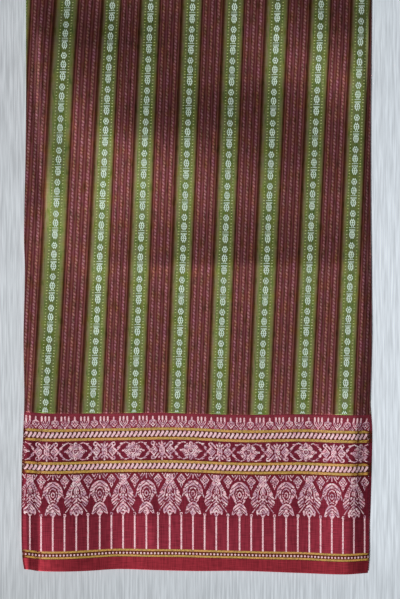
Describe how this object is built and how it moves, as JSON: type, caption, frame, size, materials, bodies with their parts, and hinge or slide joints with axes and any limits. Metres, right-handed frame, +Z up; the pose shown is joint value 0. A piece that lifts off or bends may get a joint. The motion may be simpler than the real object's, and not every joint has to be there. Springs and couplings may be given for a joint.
{
  "type": "folded sinh tube skirt",
  "caption": "Striped tube skirt with a brocaded foot border and plain waistband, folded once lengthwise into four layers and laid flat.",
  "frame": {"origin": "centre of the folded skirt's outline, on the surface it rests on", "axes": "+Y from the foot hem to the waist, +X across the skirt from its round fold to its open edge, +Z up through the layers"},
  "size_m": [0.4479, 1, 0.0238],
  "materials": {
    "striped_body_cloth": "matt silk and cotton weave with a soft sheen",
    "brocade_border_cloth": "red silk ground with silvery brocade, satin",
    "waistband_cloth": "plain matt cotton",
    "under_cloth": "matt silk and cotton weave"
  },
  "bodies": {
    "root": {"body": "striped_body_cloth", "border": "brocade_border_cloth", "waistband": "waistband_cloth", "hidden_layers": "under_cloth"}
  },
  "joints": []
}
